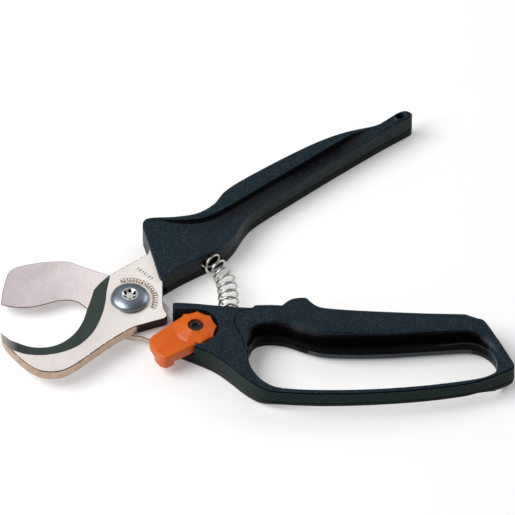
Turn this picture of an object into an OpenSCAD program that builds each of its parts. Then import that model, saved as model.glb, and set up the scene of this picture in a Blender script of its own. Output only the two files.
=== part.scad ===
// Bypass pruning shears with a closed finger loop, lying flat with the front face up.
// Frame: the pivot axis is Z, the table is z = 0, +X runs along the lower handle, +Z is the front.
// The shears are modelled fully open and unlocked.

/* [Plates] */
// Thickness of the cutting blade
blade_t = 3.3; // [2.6:0.1:3.4]
// Height of the cutting blade's back face above the table
blade_z = 2.8; // [2.8:0.05:2.9]
// Thickness of the hooked counter blade
hook_t = 5; // [4:0.25:5.5]
// Free gap between the two plates
plate_gap = 0.1; // [0.05:0.05:0.2]
// Width of the bevel ground along the hook's inner edge
bevel_w = 7; // [3:0.5:8]
// Depth of that bevel at the edge
bevel_d = 3; // [1:0.25:3.5]

/* [Handles] */
// Overall thickness of both handles
handle_t = 13.4; // [13.2:0.1:15]
// Thickness of the loop's lower bar
loop_bar_t = 9; // [6:0.5:11]
// Depth of the long channel in the upper handle's front
channel_d = 1.6; // [0.5:0.1:2]
// Radius of the hanging hole
hang_r = 1.8; // [1.2:0.1:2]

/* [Pivot] */
// Radius of the pivot bolt's shank
bolt_r = 4; // [3.5:0.1:4.2]
// Radius of the pivot bolt's domed head
head_r = 8.2; // [7:0.1:9]
// Height of the domed head
head_h = 3.5; // [2.5:0.1:4.5]
// Wall of the bush in the hook plate
bush_wall = 0.92; // [0.7:0.02:1.5]
// Running clearance of each turning fit
running = 0.05; // [0.02:0.01:0.1]

/* [Lock] */
// Radius of the lock lever's round head
lock_r = 9.4; // [8:0.1:9.8]
// Number of scallops around the lock lever's head
scallops = 9; // [6:1:14]
// Radius of the lock screw's shank
lock_screw_r = 2; // [1.5:0.1:2.2]
// Radius of the lock screw's head
lock_head_r = 3.2; // [2.8:0.1:3.4]

/* [Return spring] */
// Outer radius of the return spring
spring_r = 4.75; // [4:0.05:4.9]
// Diameter of the spring wire
wire_d = 1.1; // [0.7:0.1:1.4]
// Number of turns
turns = 11; // [8:1:13]

/* [Hidden] */
$fn = 64;
over = 1;                                  // how far a cut runs past the faces it opens
steel = [0.84, 0.80, 0.79];
black = [0.13, 0.17, 0.19];
orange = [0.82, 0.34, 0.08];

// heights above the table
blade_front = blade_z + blade_t;
hook_z = blade_front + plate_gap;
hook_front = hook_z + hook_t;
washer_t = 0.45;
head_z = hook_front + washer_t + 2 * running;
back_washer_t = 0.5;
nut_h = blade_z - back_washer_t - 2 * running;
lock_floor = blade_front + 0.5;            // floor of the lock's recess in the lower handle
wave_t = 0.4;
lever_z = lock_floor + wave_t + running;
arm_t = 5.3;
rim_h = 5.6;
hub_h = 7.4;
lug_drop = 2.4;                            // how far the lug reaches below the arm
lock_head_z = lever_z + 5;
lock_nut_h = 2;
lock_nut_z = blade_z - lock_nut_h - running;
spring_z = handle_t / 2;
pocket_r = spring_r + 0.55;

// places in plan
lock_at = [28.9, -17.5];
arm_angle = 216;                           // the way the lock's arm points
upper_seat = [32.0, 31.2];                 // bottom of the spring pocket in the upper handle
upper_mouth = [37.2, 23.4];
lower_seat = [43.5, -14.4];                // bottom of the spring pocket in the lower handle
lower_mouth = [43.4, -4];
hang_at = [119, 105.4];
bevel_at = [-40, -1];                      // the middle of the round grind on the hook
bevel_r = 30.7;

// A point on the smooth curve from b to c, where a and d are their neighbours
function between(a, b, c, d, t) = 0.5 * (2 * b + (c - a) * t + (2 * a - 5 * b + 4 * c - d) * t * t
    + (3 * b - a - 3 * c + d) * t * t * t);

// A smooth curve through the points p, without its last point, so that stretches can follow on
function bend(p, steps = 4) = [for (k = [0:len(p) - 2], s = [0:steps - 1])
    between(k > 0 ? p[k - 1] : 2 * p[0] - p[1], p[k], p[k + 1],
        k < len(p) - 2 ? p[k + 2] : 2 * p[k + 1] - p[k], s / steps)];

// Inner edge of the hook, from its tip to the shoulder above the pivot
hook_inner = [[-56.6, -17.6], [-50.2, -24.2], [-41.5, -27.5], [-32.6, -26.4], [-25.4, -20.7],
    [-21, -13.2], [-18.5, -4.2], [-15.8, 6.8]];
hook_shoulder = [[-15.8, 6.8], [-13, 10.4], [-9.1, 14.1]];
hook_tang = [[-9.1, 14.1], [7.7, 26.6], [10, 38], [14, 42.5], [22, 43.2], [31, 46], [38, 51.5],
    [45, 60], [58, 70.5], [63, 70.5], [62.5, 66], [48, 53.5], [36, 41], [24, 32.5], [18, 20]];
hook_heel = [[14.5, 10.6], [14.5, 0.9], [14.9, -5], [16.5, -9.1], [15.2, -11.1]];
hook_outer = [[15.2, -11.1], [7.2, -14], [0.5, -16.9], [-9.6, -24.8], [-19.1, -33.6], [-26, -39.4],
    [-32, -41.8], [-39, -41.2], [-45.5, -36.6], [-52, -29], [-55.4, -23.5], [-56.6, -17.6]];

// Cutting blade: nose, back and cutting edge, then the tang that runs into the lower handle
blade_nose = [[-56.6, 1.4], [-56.2, 7.5], [-54.9, 14.9], [-53.6, 19.6], [-51, 22.6], [-46, 24.5],
    [-38, 26.1], [-30, 26.6], [-26.3, 26.2]];
blade_back = [[-26.3, 26.2], [-19.1, 22.7], [-9.6, 18.6], [0, 15.4], [10, 9], [15.9, 1.4]];
blade_tang = [[15.9, 1.4], [18.1, -2.6], [19.6, -6.2], [34, -8.6], [36, -16], [50, -16.4],
    [55, -13], [62, -11], [82, -12.5], [85.5, -15.5], [82, -19], [60, -17], [52, -19.6],
    [46, -26], [36, -29], [21, -24.2], [9.5, -19.3], [5.5, -17.4]];
blade_root = [[2.1, -17], [-8, -14.5], [-14.5, -8], [-19.1, -0.8]];
blade_edge = [[-19.1, -0.8], [-22.9, 2.6], [-26.9, 3.8], [-32, 3.3], [-40.6, 0.4], [-47, -0.4],
    [-52.5, 0.1], [-56.6, 1.4]];

// Upper handle, from its lower front corner round the pad, the back, the tip and the belly
pad_end = [[14.2, 10.6], [13, 11.6], [11, 19.6], [8.2, 30.5], [5.4, 40.5]];
pad_top = [[5.4, 40.5], [5.8, 43.8], [9, 45.8], [20.1, 46.6], [29.4, 48.6], [36.6, 53.8],
    [41.5, 61.2], [50.4, 68.9], [70, 82.6], [84, 91.2], [95, 96.2], [108, 100], [112.3, 102.8]];
handle_tip = [[112.3, 102.8], [118, 107.4], [121.7, 108.7], [124.4, 107], [124, 105.2]];
belly = [[124, 105.2], [111, 95.9], [93, 82], [74.7, 67.3], [57.1, 52.8], [50.8, 45.6],
    [45.5, 35.3], [39.6, 28.2], [29.8, 21.8], [21.9, 16.6]];
channel = [[24, 44.6], [34, 46.4], [46, 54.6], [57, 63.6], [75, 77.6], [93, 91.2], [103, 96],
    [108, 97], [111, 94], [93, 80], [57.1, 51], [50.8, 43], [44, 39], [34, 41]];

// Lower handle: its top with the stop, the rounded end, the loop's outside and the neck
top_edge = [[18.8, -5.2], [19.8, -4.4], [28.4, -4.9], [38.5, -6.1], [53.2, -7.3], [54.8, -6.2],
    [63, -5.9], [66.8, -5]];
stop_bump = [[66.8, -5], [70, -2], [73.3, -0.8], [76.6, -0.8], [79, -3.2], [83.2, -6], [90, -7.2],
    [105, -8.4], [127.5, -9.6], [147, -10.2]];
loop_end = [[147, -10.2], [152, -12.4], [155.6, -14.2], [160.6, -23.3], [165.5, -33.2],
    [168.2, -39.4], [167, -42.2], [160, -46]];
loop_outside = [[160, -46], [148, -49.6], [130, -52.7], [108, -54.8], [86, -55.5], [68, -54.7],
    [58.5, -53], [51, -47.7], [43, -39.5], [36.9, -34], [30.7, -30.3], [21.2, -25.4]];
neck_end = [[21.2, -25.4], [18.8, -23.4]];
loop_inside = [[52.2, -28], [52.2, -36], [54.6, -43.2], [59.6, -49], [68, -52], [86, -53],
    [108, -52.4], [130, -50.3], [150, -47], [157.5, -45], [160.7, -41.5], [160, -33.5],
    [156, -27.4], [149, -24.2], [134.6, -25], [113.9, -26.7], [98.3, -27.1], [85, -26.4],
    [76, -23.6], [68, -20.2], [60, -19.4], [55, -21.6], [52.2, -28]];
loop_middle_y = -38;

// Lock lever's arm, from the head's upper side round the thumb corner to its lower side
arm = [[24, -9.6], [17, -15.6], [11.4, -20.4], [9.2, -22.6], [8.7, -24.8], [9.6, -27.4],
    [12, -32], [13.4, -33.6], [15.9, -34.8], [19.6, -32.6], [24.2, -29.8], [28.9, -27]];
lug = [[10.8, -29.6], [12, -32], [13.4, -33.6], [15.9, -34.8], [19.6, -32.6], [15.4, -27.4]];

// A plate with outline p from z0 up by t
module plate(p, z0, t) translate([0, 0, z0]) linear_extrude(t) polygon(p);

// A round tube or, with no inner radius, a round bar
module ring(z0, t, outer, inner = 0) translate([0, 0, z0]) difference() {
    cylinder(h = t, r = outer);
    if (inner > 0) translate([0, 0, -over]) cylinder(h = t + 2 * over, r = inner);
}

// A six-lobed driver socket cut down from z
module lobed_socket(z, depth, r) translate([0, 0, z - depth]) {
    cylinder(h = depth + over, r = r * 0.72);
    for (a = [0:60:300]) rotate(a) translate([r * 0.74, 0, 0]) cylinder(h = depth + over, r = r * 0.26);
}

// A round pocket for one end of the return spring, from its bottom a out past its mouth b
module spring_pocket(a, b) translate([a[0], a[1], spring_z])
    rotate([0, 90, atan2(b[1] - a[1], b[0] - a[0])]) cylinder(h = norm(b - a) + 6, r = pocket_r);

// Places its children at the lock's axis
module at_lock() translate([lock_at[0], lock_at[1], 0]) children();

// Plan outlines of the two plates, which also shape the slots that hold them in the handles
function hook_outline() = concat(bend(hook_inner), bend(hook_shoulder), hook_tang, bend(hook_heel),
    bend(hook_outer));
function blade_outline() = concat(bend(blade_nose), bend(blade_back), blade_tang,
    bend(blade_root), bend(blade_edge));

// The hooked counter blade, with a bevel ground along its concave edge
module hook_plate() color(steel) difference() {
    plate(hook_outline(), hook_z, hook_t);
    ring(hook_z - over, hook_t + 2 * over, bolt_r + running + bush_wall + 0.02);
    hook_bevel();
}

// The cone that is ground off the hook's front along its concave edge, with a flat land inside it
module hook_bevel() translate([bevel_at[0], bevel_at[1], hook_front - bevel_d]) {
    cylinder(h = bevel_d, r1 = bevel_r - bevel_w, r2 = bevel_r, $fn = 128);
    translate([0, 0, bevel_d]) cylinder(h = over, r = bevel_r, $fn = 128);
}

// The wide cutting blade behind the hook, with its tang
module cutting_blade() color(steel) difference() {
    plate(blade_outline(), blade_z, blade_t);
    ring(blade_z - over, blade_t + 2 * over, bolt_r + running);
    at_lock() ring(blade_z - over, blade_t + 2 * over, lock_screw_r + 0.1);
}

// The upper handle, moulded round the hook plate's tang
module upper_handle() color(black) difference() {
    plate(concat(bend(pad_end), bend(pad_top), bend(handle_tip), bend(belly)), 0, handle_t);
    plate(bend(channel), handle_t - channel_d, channel_d + over);
    plate(hook_outline(), hook_z, hook_t);
    tang_slot_z = blade_z - 0.3;
    ring(tang_slot_z, hook_z - tang_slot_z + 0.02, 20.2);
    spring_pocket(upper_seat, upper_mouth);
    translate([hang_at[0], hang_at[1], -over]) cylinder(h = handle_t + 2 * over, r = hang_r);
}

// The lower handle with its closed finger loop, moulded round the cutting blade's tang
module lower_handle() color(black) difference() {
    plate(concat(bend(top_edge), bend(stop_bump), bend(loop_end), bend(loop_outside), neck_end),
        0, handle_t);
    plate(bend(loop_inside), -over, handle_t + 2 * over);
    thin_loop_bar();
    plate(blade_outline(), blade_z, blade_t);
    lock_recess();
    at_lock() {
        cylinder(h = handle_t, r = lock_screw_r + 0.1);
        translate([0, 0, -over]) cylinder(h = blade_z + over, r = 4.2, $fn = 6);
    }
    spring_pocket(lower_seat, lower_mouth);
}

// Takes the front and back off the loop's lower bar, with sloping ends
module thin_loop_bar() {
    cut = (handle_t - loop_bar_t) / 2;
    for (z = [0, handle_t], side = z > 0 ? 1 : -1)
        translate([0, loop_middle_y, z]) rotate([90, 0, 0]) linear_extrude(30)
            polygon([[54, 0], [64, -side * cut], [150, -side * cut], [163, 0], [163, side * 2],
                [54, side * 2]]);
}

// The recess that the lock lever turns in, open to the left and below
module lock_recess() {
    at_lock() ring(lock_floor, handle_t, lock_r + 0.7);
    plate([[10, -7.4], [28.9, -7.4], [28.9, -27.6], [24, -40], [10, -40]], lock_floor, handle_t);
}

// The pivot bolt: threaded end, shank and domed head with a driver socket
module pivot_bolt() color([0.6, 0.63, 0.66]) difference() {
    rotate_extrude() polygon(concat([[0, 0], [bolt_r - 0.5, 0], [bolt_r - 0.5, blade_z],
        [bolt_r, blade_z], [bolt_r, head_z], [head_r, head_z], [head_r, head_z + 0.6]],
        [for (a = [10:10:90]) [head_r * cos(a), head_z + 0.6 + (head_h - 0.6) * sin(a)]]));
    lobed_socket(head_z + head_h, 2.4, 3.4);
}

module pivot_head_washer() color("silver") ring(hook_front + running, washer_t, head_r + 0.4,
    bolt_r + running);

module pivot_bush() color("goldenrod") ring(hook_z, hook_t, bolt_r + running + bush_wall,
    bolt_r + running);

module pivot_spring_washer() color("silver") ring(nut_h + running, back_washer_t, 7.2,
    bolt_r + 0.1);

module pivot_nut() color("silver") difference() {
    cylinder(h = nut_h, r = 7.5, $fn = 6);
    translate([0, 0, -over]) cylinder(h = nut_h + 2 * over, r = bolt_r - 0.48);
}

// The return spring: a wire swept along a helix whose axis bends between the two pockets
module return_spring() color("silver") {
    axis = bend([upper_seat + [0.6, -0.9], [35.9, 25.4], [40, 19.4], [42.4, 12.4], [43.3, 4],
        [43.4, -4], lower_seat + [0, 1.1]], 28);
    sides = 6;
    n = len(axis) - 1;
    mean_r = spring_r - wire_d / 2;
    points = [for (k = [0:n - 1]) let(
            along = axis[k + 1] - axis[k], u = along / norm(along), a = 360 * turns * k / n,
            side = [-u[1], u[0], 0], radial = side * cos(a) + [0, 0, sin(a)],
            centre = [axis[k][0], axis[k][1], spring_z] + mean_r * radial)
        for (s = [0:sides - 1]) let(b = 360 * s / sides)
            centre + wire_d / 2 * (radial * cos(b) + [u[0], u[1], 0] * sin(b))];
    walls = [for (k = [0:n - 2], s = [0:sides - 1], half = [0, 1]) let(
            p = k * sides + s, q = k * sides + (s + 1) % sides)
        half == 0 ? [p, q, q + sides] : [p, q + sides, p + sides]];
    last = (n - 1) * sides;
    polyhedron(points, concat(walls, [[for (s = [sides - 1:-1:0]) s],
        [for (s = [0:sides - 1]) last + s]]));
}

// The lock lever: a scalloped head round the screw, a thick arm and a deeper thumb lug
module lock_lever() color(orange) difference() {
    union() {
        at_lock() rotate_extrude() polygon([[0, lever_z], [lock_r, lever_z],
            [lock_r, lever_z + rim_h], [lock_head_r + 0.9, lever_z + hub_h],
            [0, lever_z + hub_h]]);
        plate(arm, lever_z, arm_t);
        plate(lug, lever_z - lug_drop, arm_t);
    }
    at_lock() {
        ring(lever_z - over, hub_h + 2 * over, lock_screw_r + 0.55);
        ring(lock_head_z - 0.1, hub_h, lock_head_r + 0.3);
        for (a = [25:360 / scallops:384]) if (cos(a - arm_angle) < 0.5) rotate(a)
            translate([lock_r + 3.2, 0, lever_z - over]) cylinder(h = hub_h + 2 * over, r = 3.7);
    }
}

module lock_screw() color([0.1, 0.1, 0.11]) at_lock() difference() {
    union() {
        ring(lock_nut_z - 0.2, lock_head_z - lock_nut_z + 0.3, lock_screw_r);
        ring(lock_head_z, 1.8, lock_head_r);
    }
    lobed_socket(lock_head_z + 1.8, 1.2, 1.9);
}

module lock_bush() color("silver") at_lock() ring(lock_floor, lock_head_z - lock_floor,
    lock_screw_r + 0.5, lock_screw_r + running);

module lock_wave_washer() color("silver") at_lock() ring(lock_floor, wave_t, 5,
    lock_screw_r + 0.6);

module lock_nut() color("silver") at_lock() difference() {
    translate([0, 0, lock_nut_z]) cylinder(h = lock_nut_h, r = 4.05, $fn = 6);
    ring(0, blade_z, lock_screw_r + 0.02);
}

hook_plate();
cutting_blade();
upper_handle();
lower_handle();
pivot_bolt();
pivot_head_washer();
pivot_bush();
pivot_spring_washer();
pivot_nut();
return_spring();
lock_lever();
lock_screw();
lock_bush();
lock_wave_washer();
lock_nut();
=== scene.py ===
"""Looks of the bypass pruning shears: ground plates, moulded handles, spring and fasteners.

Shapes are worked out in millimetres in the row frame and scaled to metres when a piece is finished.
"""

import math

import bmesh
import bpy
import numpy as np
from mathutils import Matrix, Vector
from mathutils.geometry import delaunay_2d_cdt


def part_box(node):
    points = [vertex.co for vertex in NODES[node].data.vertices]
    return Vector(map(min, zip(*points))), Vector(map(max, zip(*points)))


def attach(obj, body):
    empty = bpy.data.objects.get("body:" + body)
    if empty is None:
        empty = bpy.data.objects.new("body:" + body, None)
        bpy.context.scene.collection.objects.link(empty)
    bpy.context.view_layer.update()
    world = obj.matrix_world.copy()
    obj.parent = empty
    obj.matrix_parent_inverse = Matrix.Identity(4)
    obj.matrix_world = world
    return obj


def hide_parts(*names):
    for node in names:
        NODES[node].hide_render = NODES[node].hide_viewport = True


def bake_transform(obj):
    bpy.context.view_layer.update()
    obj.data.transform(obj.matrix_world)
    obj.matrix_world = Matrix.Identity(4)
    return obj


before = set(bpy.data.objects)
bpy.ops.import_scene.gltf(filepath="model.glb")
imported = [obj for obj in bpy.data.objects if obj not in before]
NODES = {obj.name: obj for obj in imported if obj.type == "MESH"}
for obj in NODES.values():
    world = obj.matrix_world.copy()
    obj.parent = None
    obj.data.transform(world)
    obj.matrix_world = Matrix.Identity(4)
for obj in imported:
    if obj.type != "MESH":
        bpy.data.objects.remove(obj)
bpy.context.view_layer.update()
MM = 0.001

# ---- measures from the frame, in mm


def low_high(node):
    """Lowest and highest corner of a CAD node, in millimetres."""
    low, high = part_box(node)
    return np.array(low) / MM, np.array(high) / MM


BLADE_BACK, BLADE_FRONT = low_high("cutting_blade")[0][2], low_high("cutting_blade")[1][2]
HOOK_BACK, HOOK_FRONT = low_high("hook_plate")[0][2], low_high("hook_plate")[1][2]
HANDLE_T = low_high("upper_handle")[1][2]
LOCK_LOW, LOCK_HIGH = low_high("lock_lever")[0][2], low_high("lock_lever")[1][2]
LOCK_AT = (low_high("lock_screw")[0] + low_high("lock_screw")[1])[:2] / 2
HEAD_Z = low_high("pivot_head_washer")[1][2] + 0.05
HEAD_R = low_high("pivot_bolt")[1][0]
HEAD_TOP = low_high("pivot_bolt")[1][2]
SPRING_Z = HANDLE_T / 2
SPRING_R = 4.75
WIRE_R = 0.55
TURNS = 11
POCKET_R = 5.3                        # the spring's pockets in the handles
BOLT_R = 4.0
LOCK_HOLE_R = 2.1
TANG_GAP = 0.005                      # keeps a tang's faces and its slot's apart
HANG_AT, HANG_R = np.array([119, 105.4]), 1.8
GROOVE, GROOVE_DEPTH = 0.28, 0.35     # half the width of the handles' parting groove, and its depth
VIEW_WIDTH = 0.2266                   # metres across the picture at the shears

# ---- outlines, in mm

HOOK_INNER = [
    (-56.6, -17.6), (-50.2, -24.2), (-41.5, -27.5), (-32.6, -26.4), (-25.4, -20.7), (-21, -13.2),
    (-18.5, -4.2), (-15.8, 6.8)]
HOOK_SHOULDER = [(-15.8, 6.8), (-13, 10.4), (-9.1, 14.1)]
HOOK_TANG = [
    (-9.1, 14.1), (7.7, 26.6), (10, 38), (14, 42.5), (22, 43.2), (31, 46), (38, 51.5), (45, 60),
    (58, 70.5), (63, 70.5), (62.5, 66), (48, 53.5), (36, 41), (24, 32.5), (18, 20), (14.5, 10.6)]
HOOK_HEEL = [(14.5, 10.6), (14.5, 0.9), (14.9, -5), (16.5, -9.1), (15.2, -11.1)]
HOOK_OUTER = [
    (15.2, -11.1), (7.2, -14), (0.5, -16.9), (-9.6, -24.8), (-19.1, -33.6), (-26, -39.4), (-32, -41.8),
    (-39, -41.2), (-45.5, -36.6), (-52, -29), (-55.4, -23.5), (-56.6, -17.6)]
BEVEL_LINE = [
    (-51.6, -29.2), (-45.4, -31.7), (-38.2, -32.3), (-31.1, -31.1), (-23.9, -27.9), (-19.1, -23.5),
    (-15.3, -17.8), (-12.5, -10.2), (-10.8, -2.6), (-10.1, 5), (-9.1, 11.2), (-8.6, 14.6)]

BLADE_NOSE = [
    (-56.6, 1.4), (-56.2, 7.5), (-54.9, 14.9), (-53.6, 19.6), (-51, 22.6), (-46, 24.5), (-38, 26.1),
    (-30, 26.6), (-26.3, 26.2)]
BLADE_SPINE = [(-26.3, 26.2), (-19.1, 22.7), (-9.6, 18.6), (0, 15.4), (10, 9), (15.9, 1.4)]
BLADE_TANG = [
    (15.9, 1.4), (18.1, -2.6), (19.6, -6.2), (34, -8.6), (36, -16), (50, -16.4), (55, -13), (62, -11),
    (82, -12.5), (85.5, -15.5), (82, -19), (60, -17), (52, -19.6), (46, -26), (36, -29), (21, -24.2),
    (9.5, -19.3), (5.5, -17.4), (2.1, -17)]
BLADE_ROOT = [(2.1, -17), (-8, -14.5), (-14.5, -8), (-19.1, -0.8)]
BLADE_EDGE = [
    (-19.1, -0.8), (-22.9, 2.6), (-26.9, 3.8), (-32, 3.3), (-40.6, 0.4), (-47, -0.4), (-52.5, 0.1),
    (-56.6, 1.4)]

PAD_END = [(14.2, 10.6), (13, 11.6), (11, 19.6), (8.2, 30.5), (5.4, 40.5)]
PAD_TOP = [
    (5.4, 40.5), (5.8, 43.8), (9, 45.8), (20.1, 46.6), (29.4, 48.6), (36.6, 53.8), (41.5, 61.2),
    (50.4, 68.9), (70, 82.6), (84, 91.2), (95, 96.2), (108, 100), (112.3, 102.8)]
HANDLE_TIP = [(112.3, 102.8), (118, 107.4), (121.7, 108.7), (124.4, 107), (124, 105.2)]
BELLY = [
    (124, 105.2), (111, 95.9), (93, 82), (74.7, 67.3), (57.1, 52.8), (50.8, 45.6), (45.5, 35.3),
    (39.6, 28.2), (29.8, 21.8), (21.9, 16.6), (14.2, 10.6)]
RIDGE = [
    (6, 44.4), (12, 44.6), (24, 44.6), (34, 46.6), (45, 54), (57.1, 63.5), (75.1, 77.5), (93, 91.5),
    (99.7, 95.6), (110, 99.5)]

TOP_EDGE = [
    (18.8, -5.2), (19.8, -4.4), (28.4, -4.9), (38.5, -6.1), (53.2, -7.3), (54.8, -6.2), (63, -5.9),
    (66.8, -5)]
STOP_BUMP = [
    (66.8, -5), (70, -2), (73.3, -0.8), (77.3, -0.8), (79.4, -3.1), (83.2, -6), (90, -7.2), (105, -8.4),
    (127.5, -9.6), (147, -10.2)]
LOOP_END = [
    (147, -10.2), (152, -12.4), (155.6, -14.2), (160.6, -23.3), (165.5, -33.2), (168.2, -39.4),
    (167, -42.2), (160, -46)]
LOOP_OUTSIDE = [
    (160, -46), (148, -49.6), (130, -52.7), (108, -54.8), (86, -55.5), (68, -54.7), (58.5, -53),
    (51, -47.7), (43, -39.5), (36.9, -34), (30.7, -30.3), (21.2, -25.4)]
NECK_END = [(21.2, -25.4), (18.8, -23.4), (18.8, -4.4)]
LOOP_INSIDE = [
    (52.2, -28), (52.2, -36), (54.6, -43.2), (59.6, -49), (68, -52), (86, -53), (108, -52.4),
    (130, -50.3), (150, -47), (157.5, -45), (160.7, -41.5), (160, -33.5), (156, -27.4), (149, -24.2),
    (134.6, -25), (113.9, -26.7), (98.3, -27.1), (85, -26.4), (76, -23.6), (68, -20.2), (60, -19.4),
    (55, -21.6), (52.2, -28)]
# how far the handle's front rolls over into the loop, at each point of LOOP_INSIDE
LOOP_ROLL = [
    3.5, 2.2, 1.0, 0.6, 0.4, 0.4, 0.4, 0.4, 0.5, 0.8, 1.5, 3, 4.5, 5.5, 6.5, 7, 7.5, 8.5, 9, 8.5, 7, 5.5,
    3.5]
GRIP_LINE = [
    (54.2, -5), (53.2, -7.6), (49.6, -8.4), (47.4, -9.6), (46.1, -12.1), (46.0, -14.6), (46.5, -16.9),
    (48.6, -21.9), (50.2, -26.8), (51.4, -31), (51.8, -36.2), (51.6, -40)]

ARM = [
    (24, -9.6), (17, -15.6), (11.4, -20.4), (9.2, -22.6), (8.7, -24.8), (9.6, -27.4), (12, -32),
    (13.4, -33.6), (15.9, -34.8), (19.6, -32.6), (24.2, -29.8), (28.9, -27)]
LUG = [(10.8, -29.6), (12, -32), (13.4, -33.6), (15.9, -34.8), (19.6, -32.6), (15.4, -27.4)]

UPPER_SEAT, UPPER_MOUTH = np.array([32.0, 31.2]), np.array([37.2, 23.4])
LOWER_SEAT, LOWER_MOUTH = np.array([43.5, -14.4]), np.array([43.4, -4.0])
SPRING_AXIS = [
    (32.6, 30.3), (35.9, 25.4), (40, 19.4), (42.4, 12.4), (43.3, 4), (43.4, -4), (43.5, -13.3)]

# ---- plane geometry


def smooth(points, spacing=0.8, values=None):
    """Points along the smooth curve through points, without its last; values are carried along."""
    p = np.array(points, float)
    out, carried = [], []
    for k in range(len(p) - 1):
        a = p[k - 1] if k > 0 else 2 * p[0] - p[1]
        b, c = p[k], p[k + 1]
        d = p[k + 2] if k < len(p) - 2 else 2 * c - b
        steps = max(1, round(np.linalg.norm(c - b) / spacing))
        t = np.arange(steps)[:, None] / steps
        out.append(0.5 * (2 * b + (c - a) * t + (2 * a - 5 * b + 4 * c - d) * t ** 2
                          + (3 * b - a - 3 * c + d) * t ** 3))
        if values is not None:
            carried.append(values[k] + (values[k + 1] - values[k]) * t[:, 0])
    curve = np.concatenate(out)
    return curve if values is None else (curve, np.concatenate(carried))


def straight(points, spacing=1.5):
    """Points along straight runs between points, without the last."""
    p = np.array(points, float)
    out = []
    for b, c in zip(p[:-1], p[1:]):
        steps = max(1, round(np.linalg.norm(c - b) / spacing))
        out.append(b + (c - b) * np.arange(steps)[:, None] / steps)
    return np.concatenate(out)


def circle(centre, r, n, start=0.0):
    a = start + 2 * math.pi * np.arange(n) / n
    return np.array(centre, float) + r * np.stack([np.cos(a), np.sin(a)], 1)


def turning(loop, way):
    """The loop with its points running counter-clockwise for way 1, or clockwise for way -1."""
    x, y = loop[:, 0], loop[:, 1]
    area = np.sum(x * np.roll(y, -1) - y * np.roll(x, -1))
    return loop if area * way > 0 else loop[::-1]


def inside(p, loops):
    """Which points lie inside the closed loops, a loop in a loop being a hole."""
    hit = np.zeros(len(p), bool)
    for loop in loops:
        for a, b in zip(loop, np.roll(loop, -1, 0)):
            if a[1] != b[1]:
                spans = (a[1] > p[:, 1]) != (b[1] > p[:, 1])
                x = a[0] + (p[:, 1] - a[1]) * (b[0] - a[0]) / (b[1] - a[1])
                hit ^= spans & (p[:, 0] < x)
    return hit


def nearest(p, line, closed=False):
    """For each point its distance to the line, the segment it is nearest to, and how far along that."""
    a = np.asarray(line, float)
    b = np.roll(a, -1, 0) if closed else a[1:]
    a = a if closed else a[:-1]
    best = np.full(len(p), 1e9)
    where, along = np.zeros(len(p), int), np.zeros(len(p))
    for k in range(len(a)):
        d = b[k] - a[k]
        t = np.clip(((p - a[k]) @ d) / max(d @ d, 1e-12), 0, 1)
        away = np.hypot(*(p - a[k] - t[:, None] * d).T)
        closer = away < best
        best[closer], where[closer], along[closer] = away[closer], k, t[closer]
    return best, where, along


def side_of(p, line):
    """Signed distance to an open line: above 0 on the left of its direction."""
    line = np.asarray(line, float)
    d, k, t = nearest(p, line)
    along = line[k + 1] - line[k]
    rel = p - line[k]
    return d * np.sign(along[:, 0] * rel[:, 1] - along[:, 1] * rel[:, 0]), k, t


def inward(loop):
    """Unit normals at a loop's points, towards the material on the left of its direction."""
    d = np.roll(loop, -1, 0) - loop
    d /= np.maximum(np.linalg.norm(d, axis=1)[:, None], 1e-9)
    n = np.stack([-d[:, 1], d[:, 0]], 1)
    n = n + np.roll(n, 1, 0)
    return n / np.maximum(np.linalg.norm(n, axis=1)[:, None], 1e-9)


def roll_over(d, r, drop):
    """How far a rounded edge lies below its face, at distance d from the edge."""
    u = 1 - np.clip(d / np.maximum(r, 1e-6), 0, 1)
    return drop * (1 - np.sqrt(np.maximum(1 - u * u, 0)))


def ease(t):
    t = np.clip(t, 0, 1)
    return t * t * (3 - 2 * t)


def thinned(groups, cell):
    """Points of the groups in turn, leaving out any that falls in a cell already taken."""
    taken, kept = set(), []
    for group in groups:
        for q in group:
            key = (int(q[0] // cell), int(q[1] // cell))
            if key not in taken:
                taken.add(key)
                kept.append(q)
    return np.array(kept)


# ---- meshes


def new_object(name, data):
    obj = bpy.data.objects.new(name, data)
    bpy.context.scene.collection.objects.link(obj)
    return obj


def mesh_object(name, verts, faces, indices=None):
    """A new object from points in mm, with a material index for each face."""
    mesh = bpy.data.meshes.new(name)
    mesh.from_pydata([tuple(map(float, v)) for v in verts], [], [tuple(map(int, f)) for f in faces])
    if indices is not None:
        mesh.polygons.foreach_set("material_index", np.asarray(indices, np.int32))
    mesh.update()
    return new_object(name, mesh)


def rework(obj, work):
    """Runs work on the object's mesh as a bmesh."""
    bm = bmesh.new()
    bm.from_mesh(obj.data)
    work(bm)
    bm.to_mesh(obj.data)
    bm.free()
    return obj


def upright(obj):
    """Turns all faces outwards."""
    return rework(obj, lambda bm: bmesh.ops.recalc_face_normals(bm, faces=bm.faces))


def quads(lower, upper):
    """Faces between two rows of vertex numbers that run round side by side."""
    return list(zip(lower, np.roll(lower, -1), np.roll(upper, -1), upper))


def plate_cloud(rings, normals, bands, grid, extra):
    """Points inside the outline: the extra lines, bands along the edges, then a grid; none too close."""
    low, high = rings[0].min(0), rings[0].max(0)
    gx, gy = np.meshgrid(np.arange(low[0], high[0], grid), np.arange(low[1], high[1], grid * 0.87))
    gx[1::2] += grid / 2
    groups = [(np.array(e, float), bands[0]) for e in extra]
    groups += [(r + n * b, 0.9 * b) for b in bands for r, n in zip(rings, normals)]
    groups.append((np.stack([gx.ravel(), gy.ravel()], 1), bands[0]))
    kept = []
    for points, least in groups:
        points = points[inside(points, rings)]
        away = np.min([nearest(points, r, True)[0] for r in rings], 0)
        kept.append(points[away >= least])
    return thinned(kept, 0.22)


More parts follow.
